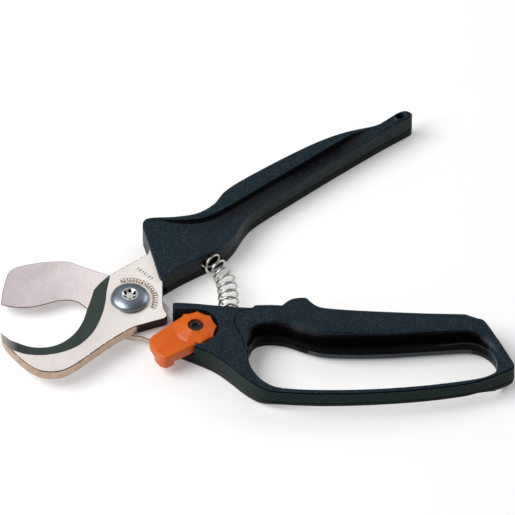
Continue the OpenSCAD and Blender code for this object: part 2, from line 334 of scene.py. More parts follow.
def slab(name, loops, top, bottom, bands=(0.15, 0.4, 0.8, 1.4), grid=2.0, extra=(), walls=6,
         parting=0.0, lean=None, lean_width=4.0, zone=None, wall_index=0, low_index=0):
    """A plate or moulding between the heights bottom(p) and top(p), with upright walls on its loops.

    With lean, the walls lean by that many mm below and above the parting height, and have a fine
    groove there. zone(p) gives the material index of the top, low_index is the one of the bottom and
    of the walls up to the parting, and wall_index the one of the other walls.
    """
    rings = [turning(np.array(l, float), 1 if k == 0 else -1) for k, l in enumerate(loops)]
    normals = [inward(r) for r in rings]
    points = np.concatenate(rings + [plate_cloud(rings, normals, bands, grid, extra)])
    edges, start = [], 0
    for r in rings:
        edges += [(start + k, start + (k + 1) % len(r)) for k in range(len(r))]
        start += len(r)
    out = delaunay_2d_cdt([Vector(q) for q in points], edges, [], 0, 1e-6, True)
    flat = np.array([tuple(v) for v in out[0]])
    renamed = {old: new for new, olds in enumerate(out[3]) for old in olds}
    tris = np.array([f for f in out[2]])
    tris = tris[inside(flat[tris].mean(1), rings)]
    e1, e2 = flat[tris[:, 1]] - flat[tris[:, 0]], flat[tris[:, 2]] - flat[tris[:, 0]]
    flip = e1[:, 0] * e2[:, 1] - e1[:, 1] * e2[:, 0] < 0
    tris[flip] = tris[flip][:, ::-1]
    zt, zb = top(flat), bottom(flat)
    n = len(flat)
    verts = [np.column_stack([flat, zt]), np.column_stack([flat, zb])]
    faces = list(map(tuple, tris)) + [tuple(t[::-1] + n) for t in tris]
    indices = list(zone(flat[tris].mean(1)) if zone else [0] * len(tris)) + [low_index] * len(tris)
    count, start = 2 * n, 0
    for r in rings:
        ids = np.array([renamed[start + k] for k in range(len(r))])
        start += len(r)
        rows = [ids + n]
        if lean:
            below = [zb[ids] + (parting - GROOVE - zb[ids]) * f for f in np.linspace(0, 1, walls)[1:]]
            above = [zt[ids] + (parting + GROOVE - zt[ids]) * f for f in np.linspace(1, 0, walls)[:-1]]
            heights = below + [np.full(len(ids), parting)] + above
        else:
            heights = [zb[ids] + (zt[ids] - zb[ids]) * f for f in np.linspace(0, 1, walls)[1:-1]]
        for z in heights:
            verts.append(np.column_stack([flat[ids], z]))
            rows.append(np.arange(count, count + len(ids)))
            count += len(ids)
        rows.append(ids)
        for step, (lower, upper) in enumerate(zip(rows[:-1], rows[1:])):
            faces += quads(lower, upper)
            indices += [low_index if low_index and step < walls - 1 else wall_index] * len(ids)
    verts = np.concatenate(verts)
    if lean:
        lean_walls(verts, [(r, nn) for r, nn in zip(rings, normals) if np.ptp(r[:, 0]) > 10],
                   parting, lean, lean_width)
    return rework(mesh_object(name, verts, faces, indices), drop_loose)


def drop_loose(bm):
    bmesh.ops.delete(bm, geom=[v for v in bm.verts if not v.link_faces], context="VERTS")


def lean_walls(verts, large, parting, lean, width):
    """Pushes vertices near the large loops towards the material, away from the parting and in its groove."""
    found = [nearest(verts[:, :2], r, True) for r, nn in large]
    which = np.argmin([f[0] for f in found], 0)
    push = np.zeros((len(verts), 2))
    for k, (r, nn) in enumerate(large):
        m = which == k
        i, t = found[k][1][m], found[k][2][m][:, None]
        push[m] = nn[i] * (1 - t) + nn[(i + 1) % len(r)] * t
    away = np.min([f[0] for f in found], 0)
    z = verts[:, 2]
    amount = np.where(z < parting, lean[0] * (parting - z) / parting,
                      lean[1] * (z - parting) / (HANDLE_T - parting))
    amount += GROOVE_DEPTH * np.clip(1 - np.abs(z - parting) / GROOVE, 0, 1)
    verts[:, :2] += push * (amount * np.clip(1 - away / width, 0, 1))[:, None]


def lathe(name, profile, segments=96, at=(0, 0)):
    """A solid turned about an upright axis: profile is a closed run of (radius, height)."""
    verts, faces, rows = [], [], []
    for r, z in profile:
        if r < 1e-6:
            rows.append([len(verts)] * segments)
            verts.append((0, 0, z))
        else:
            rows.append(list(range(len(verts), len(verts) + segments)))
            verts += [(x, y, z) for x, y in circle((0, 0), r, segments)]
    for a, b in zip(rows, rows[1:] + rows[:1]):
        pruned = [tuple(dict.fromkeys(face)) for face in quads(a, b)]
        faces += [face for face in pruned if len(face) > 2]
    obj = mesh_object(name, verts, faces)
    obj.data.transform(Matrix.Translation((*at, 0)))
    return obj


def prism(name, loop, z0, z1):
    """An upright prism on a closed outline."""
    loop = turning(np.array(loop, float), 1)
    n = len(loop)
    verts = [(x, y, z) for z in (z0, z1) for x, y in loop]
    faces = [tuple(range(n))[::-1], tuple(range(n, 2 * n)), *quads(range(n), range(n, 2 * n))]
    return mesh_object(name, verts, faces)


def combine(obj, tool, how="DIFFERENCE"):
    """Cuts the tool from obj, or joins it on, and removes the tool."""
    upright(tool)
    m = obj.modifiers.new("combine", "BOOLEAN")
    m.operation, m.solver, m.object = how, "EXACT", tool
    graph = bpy.context.evaluated_depsgraph_get()
    mesh = bpy.data.meshes.new_from_object(obj.evaluated_get(graph))
    obj.modifiers.clear()
    old, obj.data = obj.data, mesh
    mesh.name = obj.name
    bpy.data.meshes.remove(old)
    bpy.data.objects.remove(tool)
    return obj


def done(obj, body, materials, replaces, angle):
    """Scales a finished piece to metres, shades it, ties it to its body and hides the CAD nodes that it
    replaces.
    """
    def shade(bm):
        bmesh.ops.remove_doubles(bm, verts=bm.verts, dist=2e-6)
        bmesh.ops.dissolve_degenerate(bm, edges=bm.edges, dist=1e-6)
        for e in bm.edges:
            if len(e.link_faces) == 2:
                a, b = e.link_faces
                if a.material_index != b.material_index or a.normal.angle(b.normal, 0) > math.radians(angle):
                    e.smooth = False
        for f in bm.faces:
            f.smooth = True

    obj.data.transform(Matrix.Scale(MM, 4))
    rework(obj, shade)
    for m in materials:
        obj.data.materials.append(m)
    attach(obj, body)
    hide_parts(*replaces)
    return obj


# ---- materials


class Look:
    """A procedural material: a Principled shader and the nodes that feed it, in object space."""

    def __init__(self, name, metallic=0.0, specular=0.5):
        self.material = bpy.data.materials.new(name)
        self.material.use_nodes = True
        self.tree = self.material.node_tree
        self.tree.nodes.clear()
        out = self.tree.nodes.new("ShaderNodeOutputMaterial")
        self.shader = self.tree.nodes.new("ShaderNodeBsdfPrincipled")
        self.tree.links.new(self.shader.outputs[0], out.inputs[0])
        self.feed(self.shader, {"Metallic": metallic, "Specular IOR Level": specular})
        self.place = self.add("ShaderNodeTexCoord").outputs["Object"]

    def feed(self, node, inputs):
        """Links or sets a node's inputs; colours come without their alpha."""
        for key, value in inputs.items():
            socket = node.inputs[key]
            if isinstance(value, bpy.types.NodeSocket):
                self.tree.links.new(value, socket)
            else:
                socket.default_value = (*value, 1) if socket.type == "RGBA" else value

    def add(self, kind, inputs=None, **settings):
        node = self.tree.nodes.new(kind)
        for key, value in settings.items():
            setattr(node, key, value)
        self.feed(node, inputs or {})
        return node

    def noise(self, size, detail=3.0, roughness=0.5, place=None):
        """Noise from 0 to 1 with features of about size mm."""
        return self.add("ShaderNodeTexNoise", {"Vector": place or self.place, "Scale": 1 / (size * MM),
                        "Detail": detail, "Roughness": roughness}).outputs[0]

    def rings(self, radius, density, detail):
        """Noise in rings, with density features in a metre of radius."""
        return self.add("ShaderNodeTexNoise", {"W": self.times(radius, density), "Scale": 1.0,
                        "Detail": detail}, noise_dimensions="1D").outputs[0]

    def math(self, how, a, b=0.0):
        return self.add("ShaderNodeMath", {0: a, 1: b}, operation=how).outputs[0]

    def times(self, a, b):
        return self.math("MULTIPLY", a, b)

    def plus(self, a, b):
        return self.math("ADD", a, b)

    def axis(self, k):
        """Coordinate 0, 1 or 2 of object space, in metres."""
        return self.add("ShaderNodeSeparateXYZ", {0: self.place}).outputs[k]

    def radius(self, x=0.0, y=0.0):
        """Distance in metres from the upright line through x, y mm."""
        a, b = self.plus(self.axis(0), -x * MM), self.plus(self.axis(1), -y * MM)
        return self.math("SQRT", self.plus(self.times(a, a), self.times(b, b)))

    def along(self, vector, direction):
        """How far a vector goes in a direction."""
        return self.add("ShaderNodeVectorMath", {0: vector, 1: direction},
                        operation="DOT_PRODUCT").outputs["Value"]

    def span(self, value, low, high, to_low=0.0, to_high=1.0):
        """value carried from low..high to to_low..to_high, and held there."""
        return self.add("ShaderNodeMapRange", {"Value": value, "From Min": low, "From Max": high,
                        "To Min": to_low, "To Max": to_high}).outputs[0]

    def mix(self, factor, a, b):
        return self.add("ShaderNodeMix", {0: factor, 6: a, 7: b}, data_type="RGBA").outputs[2]

    def stretched(self, scale, turn=(0, 0, 0)):
        """Object space scaled by direction, for brushed or ground grain."""
        return self.add("ShaderNodeMapping", {"Vector": self.place, "Rotation": turn,
                        "Scale": scale}).outputs[0]

    def edges(self, low=0.52, high=0.62):
        """1 on outer edges, where handling wears the surface."""
        return self.span(self.add("ShaderNodeNewGeometry").outputs["Pointiness"], low, high)

    def bump(self, *layers):
        """Bump from (height, depth in mm, strength) layers."""
        inputs = {}
        for height, depth, strength in layers:
            inputs |= {"Height": height, "Distance": depth * MM, "Strength": strength}
            inputs["Normal"] = self.add("ShaderNodeBump", inputs).outputs[0]
        self.feed(self.shader, {"Normal": inputs["Normal"]})

    def finish(self, colour, roughness):
        self.feed(self.shader, {"Base Color": colour, "Roughness": roughness})
        return self.material


def nylon(name, base, lighter, speckle, specular, shine=0.6, painted_shade=None):
    """Spark-eroded glass-filled nylon: dark, satin, with a fine leathery grain.

    painted_shade(look, grain) gives how far a spot is darkened to deep black: painted shade.
    """
    look = Look(name, specular=specular)
    cloud = look.noise(18, 4)
    fine = look.noise(0.8, 3, 0.6)
    grain = look.noise(1.0, 2, 0.55)
    colour = look.mix(look.span(cloud, 0.3, 0.7), base, lighter)
    colour = look.mix(look.times(look.span(fine, 0.50, 0.68), shine), colour, speckle)
    colour = look.mix(look.times(look.edges(), 0.35), colour, speckle)
    if painted_shade:
        # painted shade: the nylon darkened towards near-black where the mask says
        colour = look.mix(painted_shade(look, fine), colour, PAINTED_SHADE_BLACK)
    look.bump((grain, 0.09, 0.7), (fine, 0.05, 0.6))
    return look.finish(colour, look.span(cloud, 0.3, 0.7, 0.34, 0.44))


def rolled_side_shade(look, grain):
    """1 where the surface turns down into the finger loop: painted shade there."""
    normal = look.add("ShaderNodeTexCoord").outputs["Normal"]
    facing = look.plus(look.along(normal, (*GRIP_FRONT, 0)), look.times(grain, 0.16))
    return look.span(facing, 0.24, 0.50)


def channel_shade(look, grain):
    """Painted shade: 1 along the foot of the upper handle's rib, falling off across the channel."""
    foot = (45, 54)      # a point on the straight stretch of RIDGE
    across = (0.616, -0.788, 0)
    start = sum(a * b for a, b in zip(foot, across)) * MM
    depth = look.plus(look.plus(look.along(look.place, across), -start), look.times(grain, 2.5 * MM))
    x = look.axis(0)
    ends = look.times(look.span(x, 32 * MM, 44 * MM), look.span(x, 98 * MM, 108 * MM, 1, 0))
    return look.times(look.span(depth, 4.2 * MM, 10.0 * MM, 0.95, 0), ends)


def plate_steel(name, base, tint, etched=False, painted_light=()):
    """Blasted and plated steel: pale, satin, with fine pits and faint stains.

    Each of painted_light is (x where it starts, x where it is full, colour), in mm: a wash of painted light
    and shade along x.
    """
    look = Look(name, metallic=0.3)
    cloud = look.noise(14, 5, 0.6)
    pits = look.noise(0.7, 4, 0.65)
    scratch = look.noise(1.2, 3, 0.6, place=look.stretched((1, 14, 1), (0, 0, 0.5)))
    colour = look.mix(look.span(cloud, 0.35, 0.7), base, tint)
    for start, full, shade in painted_light:
        colour = look.mix(look.span(look.axis(0), start * MM, full * MM, 0, 0.75), colour, shade)
    colour = look.mix(look.span(pits, 0.5, 0.72, 0, 0.4), colour, tuple(c * 0.5 for c in tint))
    layers = [(pits, 0.02, 0.5), (scratch, 0.008, 0.5)]
    if etched:
        mark = etched_marks(look)
        colour = look.mix(mark, colour, (0.17, 0.085, 0.030))
        layers.append((look.math("SUBTRACT", 1.0, mark), 0.05, 0.8))
    look.bump(*layers)
    return look.finish(colour, look.span(cloud, 0.3, 0.7, 0.36, 0.48))


def etched_marks(look):
    """A plain etched scale round the pivot, and a short row of dashes by the handle, worn in places."""
    first, last = -29, 112                      # the scale's ends, in degrees
    rim, foot, short, long = 9.95, 10.1, 11.3, 12.2     # its radii
    row_at, row_way, row_length = (3.3, 18.1), (0.728, -0.685), 9.2
    x, y, z = (look.math("DIVIDE", look.axis(k), MM) for k in range(3))
    r = look.math("DIVIDE", look.radius(), MM)
    angle = look.times(look.math("ARCTAN2", y, x), 180 / math.pi)

    def between(value, low, high, soft=0.1):
        rise = look.span(value, low - soft, low + soft)
        return look.times(rise, look.span(value, high - soft, high + soft, 1, 0))

    def ticks(value, pitch, share):
        part = look.math("FRACT", look.math("DIVIDE", look.plus(value, 1000), pitch))
        off = look.math("ABSOLUTE", look.math("SUBTRACT", part, 0.5))
        return look.span(off, share / 2 - 0.06, share / 2 + 0.06, 1, 0)

    marks = [look.times(between(r, foot, long), ticks(angle, 7.0, 0.5)),
             look.times(between(r, foot, short), ticks(angle, 3.5, 0.5)),
             between(r, rim, rim + 0.28, 0.08), between(r, long, long + 0.28, 0.08),
             look.times(between(r, 10, 12.4), between(angle, first, first + 1.5, 0.4))]
    band = marks[0]
    for mark in marks[1:]:
        band = look.math("MAXIMUM", band, mark)
    band = look.times(band, between(angle, first, last, 0.5))
    dx, dy = look.math("SUBTRACT", x, row_at[0]), look.math("SUBTRACT", y, row_at[1])
    u = look.plus(look.times(dx, row_way[0]), look.times(dy, row_way[1]))
    v = look.plus(look.times(dx, -row_way[1]), look.times(dy, row_way[0]))
    dashes = look.times(look.times(between(v, -0.9, 0.8), ticks(u, 1.4, 0.45)), between(u, 0, row_length))
    worn = look.span(look.noise(1.1, 3, 0.7), 0.36, 0.5)
    front = look.span(z, HOOK_FRONT - 0.5, HOOK_FRONT - 0.3)
    mark = look.math("MAXIMUM", band, look.times(dashes, 0.9))
    return look.times(look.times(mark, worn), look.times(front, 0.95))


def turned_metal(name, base, tint, rough=0.28, metallic=1.0, ring=0.6):
    """Bright turned or drawn metal with fine rings of tooling and a little handling haze."""
    look = Look(name, metallic=metallic)
    haze = look.noise(4, 4, 0.6)
    tooling = look.noise(ring, 3, 0.6, place=look.stretched((1, 1, 6)))
    colour = look.mix(look.span(haze, 0.3, 0.75), base, tint)
    look.bump((tooling, 0.012, 0.5))
    return look.finish(colour, look.span(haze, 0.3, 0.7, rough, rough + 0.14))


def bolt_steel():
    """The bolt's blued steel; near-white inside the socket's mouth, for the chamfer's bare ground steel and
    a painted highlight on the socket's floor, and painted shade deep in the lobes.
    """
    look = Look("bolt_steel", metallic=1.0)
    haze = look.noise(4, 4, 0.6)
    r, z = look.radius(), look.axis(2)
    colour = look.mix(look.span(haze, 0.3, 0.75), (0.30, 0.335, 0.39), (0.20, 0.245, 0.29))
    # near-white inside the mouth: the chamfer's bare ground steel, and a painted highlight on the socket's
    # floor
    colour = look.mix(look.span(r, MOUTH_R * MM, (MOUTH_R + 0.2) * MM, 1, 0), colour, (0.90, 0.90, 0.88))
    # painted shade: near-black deep in the socket's lobes
    low, high = (HEAD_TOP - 1.6) * MM, (HEAD_TOP - 1.4) * MM
    socket_painted_shade = look.times(look.span(z, low, high, 1, 0),
                           look.span(r, (MOUTH_R - 0.2) * MM, MOUTH_R * MM, 1, 0))
    colour = look.mix(socket_painted_shade, colour, (0.012, 0.012, 0.014))
    look.bump((look.rings(r, 2500, 3.0), 0.01, 0.4), (look.noise(0.6, 3), 0.01, 0.4))
    return look.finish(colour, look.span(haze, 0.3, 0.7, 0.28, 0.42))


def plate_edge(name, bright, dull, heel=False):
    """A plate's ground edges: warm and bright, with a painted dark reflection towards the hook plate's heel.
    """
    look = Look(name, metallic=0.9)
    haze = look.noise(4, 4, 0.6)
    grind = look.noise(0.5, 3, 0.6, place=look.stretched((1, 1, 0.15)))
    colour = look.mix(look.span(haze, 0.3, 0.75), bright, dull)
    if heel:
        # painted reflection: the heel's edge darkened to near-black, as the dark handle and the orange lever
        # show in it
        colour = look.mix(look.span(look.axis(0), 2.5 * MM, 3.5 * MM), colour, (0.022, 0.012, 0.014))
    look.bump((grind, 0.015, 0.5))
    return look.finish(colour, look.span(haze, 0.3, 0.7, 0.18, 0.30))


def lever_plastic():
    """Glossy orange plastic, moulded, a little scuffed."""
    look = Look("orange_plastic", specular=0.35)
    cloud = look.noise(7, 4)
    colour = look.mix(look.span(cloud, 0.3, 0.7), (0.60, 0.092, 0.003), (0.70, 0.125, 0.005))
    scuffs = look.times(look.edges(0.53, 0.66), look.span(look.noise(1.1, 4, 0.7), 0.4, 0.65))
    colour = look.mix(look.times(scuffs, 0.5), colour, (0.85, 0.30, 0.08))
    look.bump((look.noise(1.4, 3, 0.6), 0.02, 0.5))
    return look.finish(colour, look.span(look.noise(3, 3), 0.3, 0.7, 0.30, 0.42))


def bevel_steel():
    """The bevel's dark finish, with grinding lines that run round it."""
    look = Look("bevel_dark_ground", specular=0.3)
    cloud = look.noise(9, 4, 0.6)
    colour = look.mix(look.span(cloud, 0.3, 0.7), (0.022, 0.036, 0.031), (0.029, 0.045, 0.039))
    tip = look.span(look.axis(0), -56.5 * MM, -49 * MM, 1, 0)
    colour = look.mix(look.times(tip, 0.75), colour, (0.55, 0.48, 0.45))
    lines = look.rings(look.radius(-40, -1), 3500, 4.0)
    look.bump((lines, 0.01, 0.35), (look.noise(0.6, 3), 0.01, 0.3))
    return look.finish(colour, look.span(cloud, 0.3, 0.7, 0.34, 0.44))


GRIP_FRONT = (0.35, -0.94)       # the way that the grip's front edge faces
MOUTH_R = 3.5                    # the bolt socket's mouth, at the top of its chamfer
# the near-black of the painted shade on the handles
PAINTED_SHADE_BLACK = (0.0008, 0.0002, 0.0010)
NYLON_BLACK = ((0.0015, 0.0085, 0.0165), (0.0025, 0.0110, 0.0200), (0.036, 0.060, 0.068))
HANDLE_BLACK = nylon("handle_nylon_black", *NYLON_BLACK, 0.22)
# painted shade: a near-black, dull copy of the nylon for the undersides, the walls below the parting and the
# upper rib's steep foot
HANDLE_UNDER_SHADED = nylon("handle_nylon_under_shaded", (0.0008, 0.0015, 0.0025), (0.0015, 0.0025, 0.0035),
                     (0.010, 0.014, 0.016), 0.06, shine=0.3)
# shaded copies of the nylon, darker and less glossy in steps: painted shade where the grip rolls into the
# finger loop
HANDLE_ROLLED_SHADED = [nylon(f"handle_nylon_rolled_shaded_{k}", *NYLON_BLACK, specular, painted_shade=rolled_side_shade)
                 for k, specular in enumerate((0.15, 0.08, 0.03))]
# painted shade across the upper handle's channel, below the rib
HANDLE_CHANNEL_SHADED = nylon("handle_nylon_channel_shaded", *NYLON_BLACK, 0.22, painted_shade=channel_shade)
HANDLE_WALL = nylon("handle_nylon_wall", (0.0006, 0.0085, 0.0085), (0.0010, 0.0100, 0.0100),
                    (0.018, 0.046, 0.042), 0.11)
# painted light: the hook plate's face washed brighter towards the tang
HOOK_STEEL = plate_steel("hook_plate_blasted", (0.90, 0.84, 0.81), (0.80, 0.72, 0.69), etched=True,
                         painted_light=[(-14, 6, (1.0, 0.96, 0.92))])
# painted shade: a dark rim along the rounded edge of the hook plate's face
HOOK_ARRIS = plate_edge("hook_arris_shaded", (0.17, 0.115, 0.085), (0.09, 0.06, 0.045))
HOOK_WALL = plate_edge("hook_edge_ground", (0.56, 0.41, 0.31), (0.36, 0.25, 0.18), heel=True)
BEVEL = bevel_steel()
# painted shade towards the blade's nose, and painted light from its middle towards the tang
BLADE_STEEL = plate_steel("blade_ground", (0.82, 0.74, 0.73), (0.64, 0.56, 0.59),
                          painted_light=[(-32, -58, (0.58, 0.51, 0.55)), (-34, -16, (0.95, 0.90, 0.88))])
# painted shade: a darker rim along the rounded edge of the blade's face
BLADE_ARRIS = plate_edge("blade_arris_shaded", (0.40, 0.30, 0.24), (0.28, 0.21, 0.17))
BLADE_WALL = plate_edge("blade_edge_ground", (0.62, 0.52, 0.44), (0.46, 0.38, 0.32))
BOLT_STEEL = bolt_steel()
WASHER_STEEL = turned_metal("washer_zinc", (0.62, 0.60, 0.55), (0.50, 0.48, 0.44), rough=0.3)
BRONZE = turned_metal("bush_bronze_look", (0.55, 0.33, 0.13), (0.45, 0.25, 0.09), rough=0.34)
SPRING_STEEL = turned_metal("spring_wire_bright", (0.66, 0.65, 0.60), (0.50, 0.49, 0.45), rough=0.22,
                            ring=0.3)
SCREW_BLACK = turned_metal("screw_black_oxide", (0.020, 0.021, 0.023), (0.035, 0.036, 0.038), rough=0.32,
                           metallic=0.6)
LEVER = lever_plastic()

# ---- plates


def hook_plate():
    """The hooked plate: a hollow bevel down to its concave edge, eased edges elsewhere."""
    edge_lift, edge_drop, tip_drop, slope = 0.9, 1.9, 0.7, 0.25
    inner = smooth(HOOK_INNER, 0.6)
    inner[:, 1] += edge_lift * ease((inner[:, 0] - HOOK_INNER[0][0]) / 8) * ease((4 - inner[:, 1]) / 12)
    inner = np.concatenate([inner, smooth(HOOK_SHOULDER, 0.5)])
    outline = np.concatenate([inner, straight(HOOK_TANG, 1.0), smooth(HOOK_HEEL, 0.5),
                              smooth(HOOK_OUTER, 0.6)])
    line = np.concatenate([smooth(BEVEL_LINE, 0.4), [BEVEL_LINE[-1]]])
    past_root, past_tip = [HOOK_SHOULDER[-1], (-8.4, 14.8)], [(-54.5, -30), (-58.5, -20)]
    region = np.concatenate([inner, past_root, line[::-1], past_tip])

    def top(p):
        ground = inside(p, [region]) | (nearest(p, inner)[0] < 0.02)
        depth = np.where(ground, np.minimum(slope * nearest(p, line)[0], edge_drop), 0)
        tip = tip_drop * np.clip((-50.5 - p[:, 0]) / 6, 0, 1)
        rim = roll_over(nearest(p, outline, True)[0], 0.35, 0.3)
        return HOOK_FRONT - np.maximum(depth, tip) - np.where(ground, 0, rim)

    def bottom(p):
        return HOOK_BACK + roll_over(nearest(p, outline, True)[0], 0.25, 0.2)

    def zone(p):
        # index 3 is the rim of painted shade along the face's rounded edge
        return np.where(inside(p, [region]), 1, np.where(nearest(p, outline, True)[0] < 0.3, 3, 0))

    obj = slab("hook_plate_ground", [outline, circle((0, 0), BOLT_R + 1.0, 72)], top, bottom,
               bands=(0.12, 0.35, 0.8), grid=1.6, extra=[line], walls=3, zone=zone, wall_index=2)
    return done(obj, "upper_lever", [HOOK_STEEL, BEVEL, HOOK_WALL, HOOK_ARRIS],
                ["hook_plate"], 40)


def cutting_blade():
    """The wide blade: flat face, ground from the back to its edge, with its tang."""
    edge = smooth(BLADE_EDGE, 0.6)
    outline = np.concatenate([smooth(BLADE_NOSE, 0.6), smooth(BLADE_SPINE, 0.8), straight(BLADE_TANG, 1.2),
                              smooth(BLADE_ROOT, 0.8), edge])
    holes = [circle((0, 0), BOLT_R + 0.05, 72), circle(LOCK_AT, LOCK_HOLE_R, 32)]
    grind, land, rim = 7.0, 0.15, 0.22

    def top(p):
        return BLADE_FRONT - roll_over(nearest(p, outline, True)[0], 0.3, rim)

    def bottom(p):
        away = np.minimum(nearest(p, edge)[0] / grind, 1)
        edge_z = BLADE_FRONT - rim - land
        ground = edge_z - (edge_z - BLADE_BACK) * away
        return np.maximum(ground, BLADE_BACK + roll_over(nearest(p, outline, True)[0], 0.25, 0.2))

    def zone(p):
        # index 2 is the rim of painted shade along the face's rounded edge
        return np.where(nearest(p, outline, True)[0] < 0.3, 2, 0)

    obj = slab("cutting_blade_ground", [outline, *holes], top, bottom, bands=(0.12, 0.35, 0.9), grid=1.8,
               walls=3, zone=zone, wall_index=1)
    return done(obj, "lower_lever", [BLADE_STEEL, BLADE_WALL, BLADE_ARRIS],
                ["cutting_blade"], 40)


# ---- handles

# material indices that both handles share, and the handles' own ones
UNDER, WALL = 1, 2
CHANNEL = 3
ROLLED, ROLLED_LAST = 3, 5


def barrel(a, b, z, r, beyond):
    """A round cutter lying flat, from a through b and on past it, with a chamfer at a."""
    a, b = np.array([*a, z], float), np.array([*b, z], float)
    along = (b - a) / np.linalg.norm(b - a)
    side, up = np.array([-along[1], along[0], 0]), np.array([0, 0, 1])
    length, chamfer, n = np.linalg.norm(b - a) + beyond, 0.8, 72
    verts = []
    for s, rr in ((0, r - chamfer), (chamfer, r), (length, r)):
        for t in 2 * math.pi * np.arange(n) / n:
            verts.append(a + along * s + rr * (side * math.cos(t) + up * math.sin(t)))
    rows = [range(k * n, k * n + n) for k in range(3)]
    faces = quads(rows[0], rows[1]) + quads(rows[1], rows[2]) + [tuple(rows[0])[::-1], tuple(rows[2])]
    return mesh_object("barrel", verts, faces)


def upper_handle():
    """The upper handle: broad pad, raised rib with a steep foot, hollow front and hanging hole."""
    outline = np.concatenate([smooth(PAD_END, 0.8), smooth(PAD_TOP, 0.8), smooth(HANDLE_TIP, 0.6),
                              smooth(BELLY, 0.8)])
    ridge = smooth(RIDGE, 0.6)
    belly = smooth(BELLY, 1.0)
    step_at = [6, 12, 24, 34, 48, 63, 72, 90, 99, 106]
    step_depth = [0, 0.6, 1.2, 1.7, 1.9, 1.9, 3.0, 3.0, 1.5, 0]
    front_low, collar_r, collar_high, blade_sweep_r = 12.2, 3.2, 0.45, 20.2

    def top(p):
        v, k, t = side_of(p, ridge)
        x = ridge[k][:, 0]
        step = np.interp(x, step_at, step_depth)
        under = np.maximum(-v, 0)
        wall = ease(under / (0.6 + 0.55 * step))
        across = under / np.maximum(under + nearest(p, belly)[0], 1e-6)
        front_edge = np.interp(x, [30, 48, 96, 108], [HANDLE_T, front_low, front_low, HANDLE_T])
        foot = HANDLE_T - step
        z = HANDLE_T * (1 - wall) + (foot + (front_edge - foot) * across ** 1.5) * wall
        away = nearest(p, outline, True)[0]
        rib_side = (v > 0) & (p[:, 0] > 14)
        z -= roll_over(away, np.where(rib_side, 0.9, 0.6), np.where(rib_side, 0.5, 0.45))
        from_hole = np.hypot(*(p - HANG_AT).T)
        z += collar_high * ease((collar_r - from_hole) / 0.5) * ease(away / 1.0)
        z -= roll_over(np.maximum(from_hole - HANG_R, 0), 0.5, 0.4)
        return np.minimum(z, HANDLE_T + collar_high)

    def bottom(p):
        return roll_over(nearest(p, outline, True)[0], 0.8, 0.5)

    def zone(p):
        v, k, t = side_of(p, ridge)
        x = ridge[k][:, 0]
        width = 1.7 * ease((x - 10) / 14) * ease((104 - x) / 16)
        channel = (v < -width) & (p[:, 0] > 30) & (p[:, 0] < 110)
        # painted shade: the rib's steep foot gets the near-black copy, and the channel below it the copy
        # whose shade fades across
        return np.where((v < -0.12) & (v > -width), UNDER, np.where(channel, CHANNEL, 0))

    extra = [ridge, *[ridge + np.array([0.55, -0.8]) * s for s in (0.25, 0.5, 0.8, 1.2, 1.6, 2.2)],
             circle(HANG_AT, 2.7, 24), circle(HANG_AT, collar_r, 28), circle(HANG_AT, 2.3, 24)]
    obj = slab("upper_handle_moulded", [outline, circle(HANG_AT, HANG_R, 32)], top, bottom,
               bands=(0.12, 0.35, 0.7, 1.2, 1.9, 2.8), grid=1.7, extra=extra, walls=6, parting=4.6,
               lean=(0.25, 0.0), zone=zone, wall_index=WALL, low_index=UNDER)
    combine(obj, barrel(UPPER_SEAT, UPPER_MOUTH, SPRING_Z, POCKET_R, 8))
    combine(obj, lathe("sweep", [(0, BLADE_BACK - 0.3), (blade_sweep_r, BLADE_BACK - 0.3),
                                 (blade_sweep_r, HOOK_BACK + 0.02), (0, HOOK_BACK + 0.02)], 160))
    plate = np.concatenate([smooth(HOOK_INNER, 2), smooth(HOOK_SHOULDER, 2), straight(HOOK_TANG, 50),
                            smooth(HOOK_HEEL, 1.5), smooth(HOOK_OUTER, 2)])
    combine(obj, prism("tang", plate, HOOK_BACK - TANG_GAP, HOOK_FRONT + TANG_GAP))
    return done(obj, "upper_lever",
                [HANDLE_BLACK, HANDLE_UNDER_SHADED, HANDLE_WALL, HANDLE_CHANNEL_SHADED], ["upper_handle"], 38)


